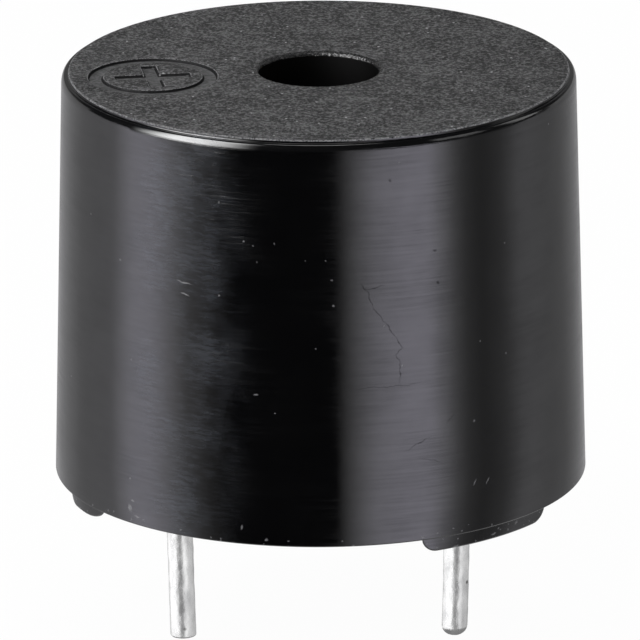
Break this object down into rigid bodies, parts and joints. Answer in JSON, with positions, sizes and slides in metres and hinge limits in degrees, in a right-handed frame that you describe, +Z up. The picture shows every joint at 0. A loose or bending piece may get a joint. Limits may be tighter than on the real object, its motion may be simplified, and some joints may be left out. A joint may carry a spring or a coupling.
{
  "type": "piezo buzzer",
  "caption": "Black round board-mount piezo buzzer with a grained top, a sound hole, a polarity mark and straight tinned pins",
  "frame": {"origin": "midway between the two pins, on the plane of the feet, which is the plane of the circuit board that the buzzer is soldered to", "axes": "+Z points up through the sound hole, X runs along the line of the pins with the positive pin and its mark on the negative side, and Y follows from the right-hand rule"},
  "size_m": [0.012, 0.012, 0.0136],
  "materials": {
    "black_plastic": "moulded, polished wall and spark-grained top",
    "black_resin": "cast, satin",
    "tinned_pin": "tin dipped, lumpy bright",
    "board_laminate": "resist-coated laminate",
    "copper": "etched copper",
    "solder": "solder, satin",
    "component_black": "moulded, matte",
    "lead_black": "enamelled wire",
    "lead_red": "enamelled wire",
    "lead_blue": "enamelled wire",
    "brass_plate": "rolled brass",
    "piezo_ceramic": "fired, unglazed",
    "silver_film": "screen-printed silver, matte",
    "silicone_glue": "silicone, satin"
  },
  "bodies": {
    "root": {"casing": "black_plastic", "resin_seal": "black_resin", "pin_positive": "tinned_pin", "pin_negative": "tinned_pin", "circuit_board": "board_laminate", "copper_tracks": "copper", "pin_solder": "solder", "transistor_body": "component_black", "transistor_legs": "solder", "bias_resistor": "component_black", "bias_resistor_caps": "solder", "load_resistor": "component_black", "load_resistor_caps": "solder", "feedback_resistor": "component_black", "feedback_resistor_caps": "solder", "plate_lead": "lead_black", "drive_lead": "lead_red", "feedback_lead": "lead_blue", "board_lead_solder": "solder", "disc_lead_solder": "solder", "diaphragm_plate": "brass_plate", "ceramic_disc": "piezo_ceramic", "drive_electrode": "silver_film", "feedback_electrode": "silver_film", "glue_ring": "silicone_glue"}
  },
  "joints": []
}
